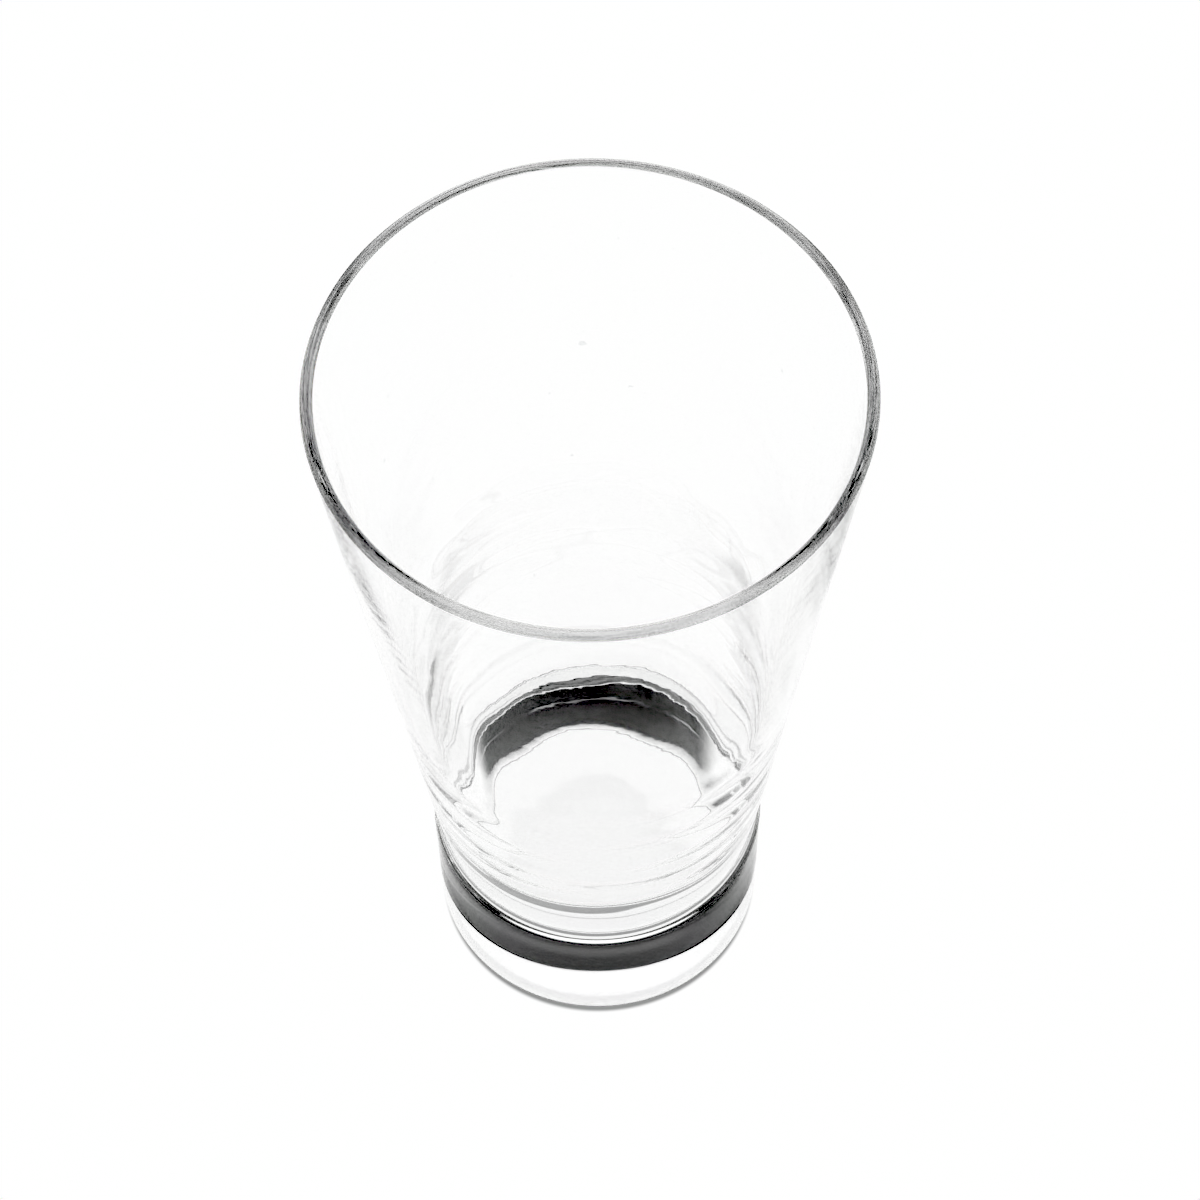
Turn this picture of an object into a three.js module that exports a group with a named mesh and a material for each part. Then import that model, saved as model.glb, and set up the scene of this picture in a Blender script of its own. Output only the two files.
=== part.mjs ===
// A conical bar mixing glass: a thin tapering wall on a thick solid foot, moulded as one piece of clear glass.
// Millimetres, +Z up, origin at the centre of the base, on the surface that the glass stands on.
import * as THREE from "three";

// Driving dimensions.
const HEIGHT = 152;
const RIM_RADIUS = 44.5;
const RIM_THICKNESS = 2.05;

const FOOT_HEIGHT = 26.55;
const FOOT_TOP_RADIUS = 28.1;
const FOOT_BASE_RADIUS = 27.55;
const FOOT_CORNER = 3.5;
const SHOULDER_ROUND = 1.2;

const WAIST_RADIUS = 27.55; // the wall's outside where it rises from the foot
const WAIST_RISE = 2.65; // height of the rounded step between foot and wall

const STANDING_RING_RADIUS = 20.5; // inner edge of the flat ring that the glass stands on
const PUSH_UP = 0.5; // how far the middle of the underside is raised

const FLOOR_EDGE_RADIUS = 19.2;
const FLOOR_EDGE_HEIGHT = 19.25;
const FLOOR_CROWN = 4.45; // the middle of the inner floor stands this much higher than its edge
const HEEL_HEIGHT = 40.9; // above this the inside is a straight cone
const HEEL_WALL = 2.4; // wall thickness at that height
const HEEL_DROP = 0.14; // how far the heel's curve follows the wall, as a share of its height
const HEEL_REACH = 0.13; // how far it follows the floor, as a share of its width

const SEGMENTS = 72;
const CURVE_STEPS = 6;

const GLASS = new THREE.MeshStandardMaterial({
  color: 0xf4f7f6,
  roughness: 0.02,
  metalness: 0,
  transparent: true,
  opacity: 0.35,
});

// The rim is a half round, so the straight walls end half a rim's thickness below the top.
const WALL_TOP = HEIGHT - RIM_THICKNESS / 2;
const WAIST_HEIGHT = FOOT_HEIGHT + WAIST_RISE;

// Outside radius of the wall at a height above the waist.
function outerRadius(height) {
  const share = (height - WAIST_HEIGHT) / (WALL_TOP - WAIST_HEIGHT);
  return WAIST_RADIUS + (RIM_RADIUS - WAIST_RADIUS) * share;
}

// Inside radius of the straight cone between the heel and the rim.
function innerRadius(height) {
  const heelRadius = outerRadius(HEEL_HEIGHT) - HEEL_WALL;
  const topRadius = RIM_RADIUS - RIM_THICKNESS;
  const share = (height - HEEL_HEIGHT) / (WALL_TOP - HEEL_HEIGHT);
  return heelRadius + (topRadius - heelRadius) * share;
}

// Underside, from the axis out to the standing ring: a shallow dish.
function addUnderside(outline) {
  outline.moveTo(0, PUSH_UP);
  outline.quadraticCurveTo(STANDING_RING_RADIUS / 2, PUSH_UP, STANDING_RING_RADIUS, 0);
}

// Foot, from the standing ring up its side to the waist.
function addFoot(outline) {
  outline.lineTo(FOOT_BASE_RADIUS - FOOT_CORNER, 0);
  outline.quadraticCurveTo(FOOT_BASE_RADIUS, 0, FOOT_BASE_RADIUS, FOOT_CORNER);
  outline.lineTo(FOOT_TOP_RADIUS, FOOT_HEIGHT - SHOULDER_ROUND);
  outline.bezierCurveTo(
    FOOT_TOP_RADIUS, FOOT_HEIGHT,
    WAIST_RADIUS, FOOT_HEIGHT,
    WAIST_RADIUS, WAIST_HEIGHT,
  );
}

// Outer wall and the half-round rim.
function addWallAndRim(outline) {
  const rimRound = RIM_THICKNESS / 2;
  outline.lineTo(RIM_RADIUS, WALL_TOP);
  outline.absarc(RIM_RADIUS - rimRound, WALL_TOP, rimRound, 0, Math.PI, false);
}

// Inner wall, the rounded heel where it thickens, and the domed floor back to the axis.
function addInside(outline) {
  const heelRadius = innerRadius(HEEL_HEIGHT);
  const heelEnd = HEEL_HEIGHT - (HEEL_HEIGHT - FLOOR_EDGE_HEIGHT) * HEEL_DROP;
  const reach = (heelRadius - FLOOR_EDGE_RADIUS) * HEEL_REACH;
  const fall = (2 * FLOOR_CROWN) / FLOOR_EDGE_RADIUS; // slope of the dome at its edge
  const crownHeight = FLOOR_EDGE_HEIGHT + FLOOR_CROWN;
  outline.lineTo(heelRadius, HEEL_HEIGHT);
  outline.bezierCurveTo(
    innerRadius(heelEnd), heelEnd,
    FLOOR_EDGE_RADIUS + reach, FLOOR_EDGE_HEIGHT - reach * fall,
    FLOOR_EDGE_RADIUS, FLOOR_EDGE_HEIGHT,
  );
  outline.quadraticCurveTo(FLOOR_EDGE_RADIUS / 2, crownHeight, 0, crownHeight);
}

// Radius against height, once round the cut section from the axis to the axis.
function section() {
  const outline = new THREE.Path();
  addUnderside(outline);
  addFoot(outline);
  addWallAndRim(outline);
  addInside(outline);
  return outline.getPoints(CURVE_STEPS);
}

function glassBody() {
  const geometry = new THREE.LatheGeometry(section(), SEGMENTS);
  geometry.rotateX(Math.PI / 2); // the lathe turns about Y, and the glass stands on +Z
  const mesh = new THREE.Mesh(geometry, GLASS);
  mesh.name = "glass_body";
  return mesh;
}

const mixingGlass = new THREE.Group();
mixingGlass.add(glassBody());

export default mixingGlass;
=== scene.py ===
"""A conical mixing glass in clear glass, on a plain pale floor in soft studio light. Metres, +Z up."""
import math

import bpy
from mathutils import Matrix, Vector


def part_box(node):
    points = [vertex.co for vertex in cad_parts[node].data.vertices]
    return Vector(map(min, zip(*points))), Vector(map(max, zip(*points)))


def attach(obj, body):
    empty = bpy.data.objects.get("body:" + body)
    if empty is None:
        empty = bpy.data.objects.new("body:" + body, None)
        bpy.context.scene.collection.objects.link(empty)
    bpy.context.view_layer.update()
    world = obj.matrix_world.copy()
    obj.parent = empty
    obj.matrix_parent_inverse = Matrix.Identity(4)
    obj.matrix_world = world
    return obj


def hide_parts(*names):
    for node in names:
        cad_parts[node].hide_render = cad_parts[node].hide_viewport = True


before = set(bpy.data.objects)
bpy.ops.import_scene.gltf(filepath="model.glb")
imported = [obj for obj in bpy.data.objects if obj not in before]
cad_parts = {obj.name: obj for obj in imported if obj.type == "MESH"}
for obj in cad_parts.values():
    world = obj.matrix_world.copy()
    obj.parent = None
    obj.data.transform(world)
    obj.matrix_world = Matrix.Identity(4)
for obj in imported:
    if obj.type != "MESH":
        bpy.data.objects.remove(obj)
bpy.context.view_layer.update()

low_corner, high_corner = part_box("glass_body")

# ---------------------------------------------------------------- driving dimensions, in metres
BASE = low_corner.z
HEIGHT = high_corner.z - low_corner.z
RIM_RADIUS = high_corner.x
RIM_THICKNESS = 0.00205

FOOT_HEIGHT = 0.02655
FOOT_TOP_RADIUS = 0.0281
FOOT_BASE_RADIUS = 0.02755
FOOT_CORNER = 0.0035
SHOULDER_ROUND = 0.0012
WAIST_RADIUS = 0.02755
WAIST_RISE = 0.00265

STANDING_RING_RADIUS = 0.0205
PUSH_UP = 0.0005

FLOOR_EDGE_RADIUS = 0.0192
FLOOR_EDGE_HEIGHT = 0.01925
FLOOR_CROWN = 0.00445
HEEL_HEIGHT = 0.0409
HEEL_WALL = 0.0024
HEEL_DROP = 0.14
HEEL_REACH = 0.13

WALL_TOP = HEIGHT - RIM_THICKNESS / 2
WAIST_HEIGHT = FOOT_HEIGHT + WAIST_RISE

# Mesh steps along each part of the section, and round the axis.
SEGMENTS = 288
UNDERSIDE_STEPS = 30
RING_STEPS = 8
CORNER_STEPS = 20
FOOT_STEPS = 20
SHOULDER_STEPS = 20
OUTER_WALL_STEPS = 48
RIM_STEPS = 16
INNER_WALL_STEPS = 80
HEEL_STEPS = 56
DOME_STEPS = 32

# ---------------------------------------------------------------- waves that moulding leaves on the inside
# strength (m), middle height, spread, lobes round the axis, wave length up the wall (0: none), phase
MOULD_WAVES = (
    (0.00018, 0.036, 0.008, 6, 0.0, 0.9),
    (0.00004, 0.031, 0.006, 9, 0.0, 2.2),
    (0.00020, 0.060, 0.015, 1, 0.0110, 0.74),
    (0.00016, 0.048, 0.009, 1, 0.0062, 1.22),
    (0.00005, 0.090, 0.040, 9, 0.0, 0.3),
    (0.000025, 0.085, 0.035, 19, 0.0, 1.4),
)
WAVE_LEAN = 40  # how far the lobes turn with height, in radians per metre
RIM_FADE = 0.02  # the waves fade out over this height below the rim

# ---------------------------------------------------------------- camera
CAMERA_ELEVATION = 58.06  # degrees above the horizon
CAMERA_AZIMUTH = -0.13
CAMERA_ROLL = -0.954
CAMERA_DISTANCE = 0.8909
AIM = Vector((0.00104, 0.0, 0.0913))
LENS = 164.7
SENSOR = 36.0

# ---------------------------------------------------------------- the glass and its surface
GLASS_IOR = 1.5
GLASS_TINT = (0.9, 0.9, 0.9, 1.0)
GLASS_DEPTH = 6.0  # absorption density, per metre
CLEAN_COLOUR = (1.0, 1.0, 1.0, 1.0)
SMEAR_SCALE = 40.0  # each scale is of the noise, in cells per metre
SMEAR_ROUGHNESS = 0.012
SCUFF_SCALE = 900.0
SCUFF_ROUGHNESS = 0.14
SCUFF_HEIGHT = 0.0003  # the standing ring is scuffed up to this height
MARK_SCALE = 420.0
MARK_COLOUR = (0.88, 0.89, 0.89, 1.0)
MARK_RANGE = (0.75, 0.8)  # noise above the first value starts a mark
SMEAR_RANGE = (0.5, 0.8)
SCUFF_RANGE = (0.4, 0.65)
RIPPLE_SCALE = 160.0
RIPPLE_HEIGHT = 0.00002
RIPPLE_STRENGTH = 0.3

# ---------------------------------------------------------------- surroundings
FLOOR_RADIUS = 4.0
FLOOR_SIDES = 96
FLOOR_GAP = 0.0001  # between the floor and the standing ring
FLOOR_BRIGHTNESS = 1.0
WALL_BRIGHTNESS = 1.1
CONTACT_RADIUS = FOOT_BASE_RADIUS - FOOT_CORNER  # the floor is shaded from here to the foot's side
CONTACT_SHADE = 0.35
SHADE_SOFTNESS = 0.0008

# The tone curve: what is darker than BLACK_LEVEL comes out black, as in a high-contrast product photo.
BLACK_LEVEL = 0.5
WHITE_LEVEL = 1.0

# In degrees: azimuth (0 is +X, 90 is +Y), half width and the soft edge of its sides; lowest and highest
# elevation (100: to the zenith) and their soft edge. Then brightness. Later panels cover earlier ones.
PANELS = (
    ("sides", 90, 180, 0, 6, 100, 6, 1.15),
    ("left", 180, 50, 40, 36, 100, 16, 0.5),
    ("camera_side", -90, 78, 34, 5.5, 24, 4, 0.28),
    ("above_sweep", 75, 85, 10, 34, 58, 8, 0.1),
    ("camera_side_top", -95, 60, 20, 36, 62, 8, 0.3),
    ("ceiling", 90, 180, 0, 56, 100, 12, 0.5),
)
ZENITH = 90
ALL_ROUND = 180

LIGHT_BOUNCES = 256  # light is piped many times to and fro inside the wall before it leaves


def place_camera():
    elevation = math.radians(CAMERA_ELEVATION)
    azimuth = math.radians(CAMERA_AZIMUTH)
    level = math.cos(elevation)
    back = Vector((math.sin(azimuth) * level, -math.cos(azimuth) * level, math.sin(elevation)))
    data = bpy.data.cameras.new("camera")
    data.lens = LENS
    data.sensor_width = SENSOR
    camera = bpy.data.objects.new("camera", data)
    turn = (-back).to_track_quat("-Z", "Y").to_matrix().to_4x4()
    roll = Matrix.Rotation(math.radians(CAMERA_ROLL), 4, "Z")
    camera.matrix_world = Matrix.Translation(AIM + back * CAMERA_DISTANCE) @ turn @ roll
    bpy.context.scene.collection.objects.link(camera)
    bpy.context.scene.camera = camera


# ---------------------------------------------------------------- the section's curves, as (radius, height)
def curve(points, steps):
    """Points along a Bezier curve of any order, without its last point."""
    made = []
    for step in range(steps):
        share = step / steps
        row = list(points)
        while len(row) > 1:
            row = [
                (a[0] + (b[0] - a[0]) * share, a[1] + (b[1] - a[1]) * share)
                for a, b in zip(row, row[1:])
            ]
        made.append(row[0])
    return made


def straight(start, end, steps):
    """Points along a line, closer together at its ends, without its last point."""
    shares = [(1 - math.cos(math.pi * step / steps)) / 2 for step in range(steps)]
    return [(start[0] + (end[0] - start[0]) * s, start[1] + (end[1] - start[1]) * s) for s in shares]


def outer_radius(height):
    """Outside radius of the wall at a height above the waist."""
    share = (height - WAIST_HEIGHT) / (WALL_TOP - WAIST_HEIGHT)
    return WAIST_RADIUS + (RIM_RADIUS - WAIST_RADIUS) * share


def inner_radius(height):
    """Inside radius of the straight cone between the heel and the rim."""
    heel = outer_radius(HEEL_HEIGHT) - HEEL_WALL
    top = RIM_RADIUS - RIM_THICKNESS
    share = (height - HEEL_HEIGHT) / (WALL_TOP - HEEL_HEIGHT)
    return heel + (top - heel) * share


def outside():
    """From the middle of the underside, round the foot and up the outer wall."""
    ring = (STANDING_RING_RADIUS, 0)
    corner = (FOOT_BASE_RADIUS - FOOT_CORNER, 0)
    side = (FOOT_BASE_RADIUS, FOOT_CORNER)
    shoulder = (FOOT_TOP_RADIUS, FOOT_HEIGHT - SHOULDER_ROUND)
    waist = (WAIST_RADIUS, WAIST_HEIGHT)
    points = curve([(0, PUSH_UP), (STANDING_RING_RADIUS / 2, PUSH_UP), ring], UNDERSIDE_STEPS)
    points += straight(ring, corner, RING_STEPS)
    points += curve([corner, (FOOT_BASE_RADIUS, 0), side], CORNER_STEPS)
    points += straight(side, shoulder, FOOT_STEPS)
    step = [shoulder, (FOOT_TOP_RADIUS, FOOT_HEIGHT), (WAIST_RADIUS, FOOT_HEIGHT), waist]
    points += curve(step, SHOULDER_STEPS)
    points += straight(waist, (RIM_RADIUS, WALL_TOP), OUTER_WALL_STEPS)
    return points


def rim():
    """A half round, from the outer wall to the inner wall."""
    half = RIM_THICKNESS / 2
    angles = [math.pi * step / RIM_STEPS for step in range(RIM_STEPS)]
    return [(RIM_RADIUS - half + half * math.cos(a), WALL_TOP + half * math.sin(a)) for a in angles]


def inside():
    """Down the inner wall, round the heel and over the domed floor to the axis."""
    heel = (inner_radius(HEEL_HEIGHT), HEEL_HEIGHT)
    heel_end = HEEL_HEIGHT - (HEEL_HEIGHT - FLOOR_EDGE_HEIGHT) * HEEL_DROP
    reach = (heel[0] - FLOOR_EDGE_RADIUS) * HEEL_REACH
    fall = 2 * FLOOR_CROWN / FLOOR_EDGE_RADIUS
    edge = (FLOOR_EDGE_RADIUS, FLOOR_EDGE_HEIGHT)
    crown = FLOOR_EDGE_HEIGHT + FLOOR_CROWN
    turn = [heel, (inner_radius(heel_end), heel_end), (edge[0] + reach, edge[1] - reach * fall), edge]
    points = straight((inner_radius(WALL_TOP), WALL_TOP), heel, INNER_WALL_STEPS)
    points += curve(turn, HEEL_STEPS)
    points += curve([edge, (FLOOR_EDGE_RADIUS / 2, crown), (0, crown)], DOME_STEPS)
    return points + [(0, crown)]


# ---------------------------------------------------------------- mesh
def relief(angle, height):
    """How far the inside stands proud of its section at a place."""
    offset = 0.0
    for strength, middle, spread, lobes, length, phase in MOULD_WAVES:
        fade = math.exp(-((height - middle) / spread) ** 2)
        round_axis = math.cos(lobes * angle + phase + WAVE_LEAN * height)
        up_wall = math.sin(math.tau * height / length + phase) if length else 1.0
        offset += strength * fade * round_axis * up_wall
    return offset * min(1.0, (WALL_TOP - height) / RIM_FADE)


def normals(section):
    """The direction out of the glass at each point but the ends, as (radius, height) pairs."""
    found = []
    for before, after in zip(section, section[2:]):
        along = (after[0] - before[0], after[1] - before[1])
        length = math.hypot(*along)
        found.append((along[1] / length, -along[0] / length))
    return found


def lathe(name, section, inside_from):
    """A closed mesh turned from a section that starts and ends on the axis, with relief on its inside."""
    bottom, *rings, top = section
    vertices = [(0, 0, BASE + bottom[1])]
    for ring, ((radius, height), normal) in enumerate(zip(rings, normals(section))):
        share = min(1.0, radius / FLOOR_EDGE_RADIUS)
        for segment in range(SEGMENTS):
            angle = math.tau * segment / SEGMENTS
            proud = relief(angle, height) * share if ring + 1 >= inside_from else 0.0
            out = radius + normal[0] * proud
            up = BASE + height + normal[1] * proud
            vertices.append((out * math.cos(angle), out * math.sin(angle), up))
    vertices.append((0, 0, BASE + top[1]))
    last = len(vertices) - 1
    upper = 1 + (len(rings) - 1) * SEGMENTS
    faces = []
    for segment in range(SEGMENTS):
        after = (segment + 1) % SEGMENTS
        faces.append((0, 1 + after, 1 + segment))
        faces.append((upper + segment, upper + after, last))
        for ring in range(len(rings) - 1):
            here = 1 + ring * SEGMENTS
            over = here + SEGMENTS
            faces.append((here + segment, here + after, over + after, over + segment))
    mesh = bpy.data.meshes.new(name)
    mesh.from_pydata(vertices, [], faces)
    mesh.validate()
    mesh.shade_smooth()
    piece = bpy.data.objects.new(name, mesh)
    bpy.context.scene.collection.objects.link(piece)
    return piece


# ---------------------------------------------------------------- materials
def ramp(tree, value, low, high, top=1.0):
    """0 up to low, top from high on and a smooth step between; low may be the greater of the two."""
    node = tree.nodes.new("ShaderNodeMapRange")
    node.interpolation_type = "SMOOTHSTEP"
    node.inputs["From Min"].default_value = low
    node.inputs["From Max"].default_value = high
    node.inputs["To Max"].default_value = top
    tree.links.new(value, node.inputs["Value"])
    return node.outputs["Result"]


def product(tree, first, second):
    node = tree.nodes.new("ShaderNodeMath")
    node.operation = "MULTIPLY"
    tree.links.new(first, node.inputs[0])
    tree.links.new(second, node.inputs[1])
    return node.outputs[0]


def noise(tree, place, scale, detail):
    node = tree.nodes.new("ShaderNodeTexNoise")
    node.inputs["Scale"].default_value = scale
    node.inputs["Detail"].default_value = detail
    tree.links.new(place, node.inputs["Vector"])
    return node.outputs["Fac"]


def clear_glass():
    """Colourless glass with faint smears, a few tiny marks, a fine ripple and a scuffed standing ring."""
    material = bpy.data.materials.new("clear_glass")
    material.use_nodes = True
    tree = material.node_tree
    shader = tree.nodes["Principled BSDF"]
    shader.inputs["IOR"].default_value = GLASS_IOR
    shader.inputs["Transmission Weight"].default_value = 1.0
    place = tree.nodes.new("ShaderNodeTexCoord").outputs["Object"]
    parts = tree.nodes.new("ShaderNodeSeparateXYZ")
    tree.links.new(place, parts.inputs[0])

    smear = ramp(tree, noise(tree, place, SMEAR_SCALE, 4), *SMEAR_RANGE, SMEAR_ROUGHNESS)
    standing = ramp(tree, parts.outputs["Z"], BASE + SCUFF_HEIGHT, BASE)
    patches = ramp(tree, noise(tree, place, SCUFF_SCALE, 3), *SCUFF_RANGE, SCUFF_ROUGHNESS)
    scuff = product(tree, standing, patches)
    rough = tree.nodes.new("ShaderNodeMath")
    rough.operation = "ADD"
    tree.links.new(smear, rough.inputs[0])
    tree.links.new(scuff, rough.inputs[1])
    tree.links.new(rough.outputs[0], shader.inputs["Roughness"])

    marks = tree.nodes.new("ShaderNodeMix")
    marks.data_type = "RGBA"
    marks.inputs["A"].default_value = CLEAN_COLOUR
    marks.inputs["B"].default_value = MARK_COLOUR
    spots = ramp(tree, noise(tree, place, MARK_SCALE, 2), *MARK_RANGE)
    tree.links.new(spots, marks.inputs["Factor"])
    tree.links.new(marks.outputs["Result"], shader.inputs["Base Color"])

    ripple = tree.nodes.new("ShaderNodeBump")
    ripple.inputs["Strength"].default_value = RIPPLE_STRENGTH
    ripple.inputs["Distance"].default_value = RIPPLE_HEIGHT
    tree.links.new(noise(tree, place, RIPPLE_SCALE, 2), ripple.inputs["Height"])
    tree.links.new(ripple.outputs["Normal"], shader.inputs["Normal"])

    depth = tree.nodes.new("ShaderNodeVolumeAbsorption")
    depth.inputs["Color"].default_value = GLASS_TINT
    depth.inputs["Density"].default_value = GLASS_DEPTH
    tree.links.new(depth.outputs["Volume"], tree.nodes["Material Output"].inputs["Volume"])
    return material


def pale_floor():
    """An evenly lit floor, in shade only in the narrow gap under the foot's rounded corner."""
    material = bpy.data.materials.new("pale_floor")
    material.use_nodes = True
    shader = material.node_tree.nodes["Principled BSDF"]
    shader.inputs["Base Color"].default_value = (0.0, 0.0, 0.0, 1.0)
    shader.inputs["Specular IOR Level"].default_value = 0.0
    shader.inputs["Emission Color"].default_value = (1.0, 1.0, 1.0, 1.0)
    tree = material.node_tree
    distance = tree.nodes.new("ShaderNodeVectorMath")
    distance.operation = "LENGTH"
    tree.links.new(tree.nodes.new("ShaderNodeTexCoord").outputs["Object"], distance.inputs[0])
    away = distance.outputs["Value"]
    shade = product(
        tree,
        ramp(tree, away, CONTACT_RADIUS - SHADE_SOFTNESS, CONTACT_RADIUS),
        ramp(tree, away, FOOT_BASE_RADIUS, FOOT_BASE_RADIUS - SHADE_SOFTNESS),
    )
    strength = tree.nodes.new("ShaderNodeMath")
    strength.operation = "MULTIPLY_ADD"
    strength.inputs[1].default_value = -CONTACT_SHADE
    strength.inputs[2].default_value = FLOOR_BRIGHTNESS
    tree.links.new(shade, strength.inputs[0])
    tree.links.new(strength.outputs[0], shader.inputs["Emission Strength"])
    return material


# ---------------------------------------------------------------- surroundings
def lay_floor():
    mesh = bpy.data.meshes.new("floor")
    angles = [math.tau * side / FLOOR_SIDES for side in range(FLOOR_SIDES)]
    edge = [(FLOOR_RADIUS * math.cos(angle), FLOOR_RADIUS * math.sin(angle), 0) for angle in angles]
    mesh.from_pydata(edge, [], [tuple(range(FLOOR_SIDES))])
    floor = bpy.data.objects.new("floor", mesh)
    floor.location.z = BASE - FLOOR_GAP
    mesh.materials.append(pale_floor())
    bpy.context.scene.collection.objects.link(floor)


def sine(degrees):
    return math.sin(math.radians(degrees))


def panel_mask(tree, level, height, azimuth, half_width, side_edge, lowest, highest, edge):
    """1 where a direction falls on a panel, fading over its soft edge."""
    mask = ramp(tree, height, sine(lowest - edge / 2), sine(lowest + edge / 2))
    if highest < ZENITH:
        mask = product(tree, mask, ramp(tree, height, sine(highest + edge / 2), sine(highest - edge / 2)))
    if half_width < ALL_ROUND:
        facing = tree.nodes.new("ShaderNodeVectorMath")
        facing.operation = "DOT_PRODUCT"
        facing.inputs[1].default_value = (sine(90 - azimuth), sine(azimuth), 0)
        tree.links.new(level, facing.inputs[0])
        far = sine(90 - half_width - side_edge / 2)
        near = sine(90 - half_width + side_edge / 2)
        mask = product(tree, mask, ramp(tree, facing.outputs["Value"], far, near))
    return mask


def light_studio():
    """Soft panels round the glass, from the horizon to the zenith."""
    world = bpy.data.worlds.new("studio")
    world.use_nodes = True
    tree = world.node_tree
    direction = tree.nodes.new("ShaderNodeTexCoord").outputs["Generated"]
    parts = tree.nodes.new("ShaderNodeSeparateXYZ")
    tree.links.new(direction, parts.inputs[0])
    flat = tree.nodes.new("ShaderNodeVectorMath")
    flat.operation = "MULTIPLY"
    flat.inputs[1].default_value = (1, 1, 0)
    tree.links.new(direction, flat.inputs[0])
    level = tree.nodes.new("ShaderNodeVectorMath")
    level.operation = "NORMALIZE"
    tree.links.new(flat.outputs[0], level.inputs[0])
    brightness = None
    for name, *place, value in PANELS:
        mix = tree.nodes.new("ShaderNodeMix")
        mix.name = name
        mix.inputs["A"].default_value = WALL_BRIGHTNESS
        mix.inputs["B"].default_value = value
        mask = panel_mask(tree, level.outputs[0], parts.outputs["Z"], *place)
        tree.links.new(mask, mix.inputs["Factor"])
        if brightness:
            tree.links.new(brightness, mix.inputs["A"])
        brightness = mix.outputs["Result"]
    tree.links.new(brightness, tree.nodes["Background"].inputs["Strength"])
    tree.nodes["Background"].inputs["Color"].default_value = (1, 1, 1, 1)
    bpy.context.scene.world = world


def set_tone():
    """A plain contrast stretch from BLACK_LEVEL to WHITE_LEVEL."""
    view = bpy.context.scene.view_settings
    view.view_transform = "Standard"
    view.use_curve_mapping = True
    view.curve_mapping.black_level = (BLACK_LEVEL, BLACK_LEVEL, BLACK_LEVEL)
    view.curve_mapping.white_level = (WHITE_LEVEL, WHITE_LEVEL, WHITE_LEVEL)
    view.curve_mapping.update()


place_camera()
outer = outside() + rim()
glass = lathe("glass", outer + inside(), len(outer))
glass.data.materials.append(clear_glass())
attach(glass, "root")
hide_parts("glass_body")
lay_floor()
light_studio()
set_tone()

scene = bpy.context.scene
scene.cycles.max_bounces = LIGHT_BOUNCES
scene.cycles.transmission_bounces = LIGHT_BOUNCES
scene.cycles.glossy_bounces = LIGHT_BOUNCES
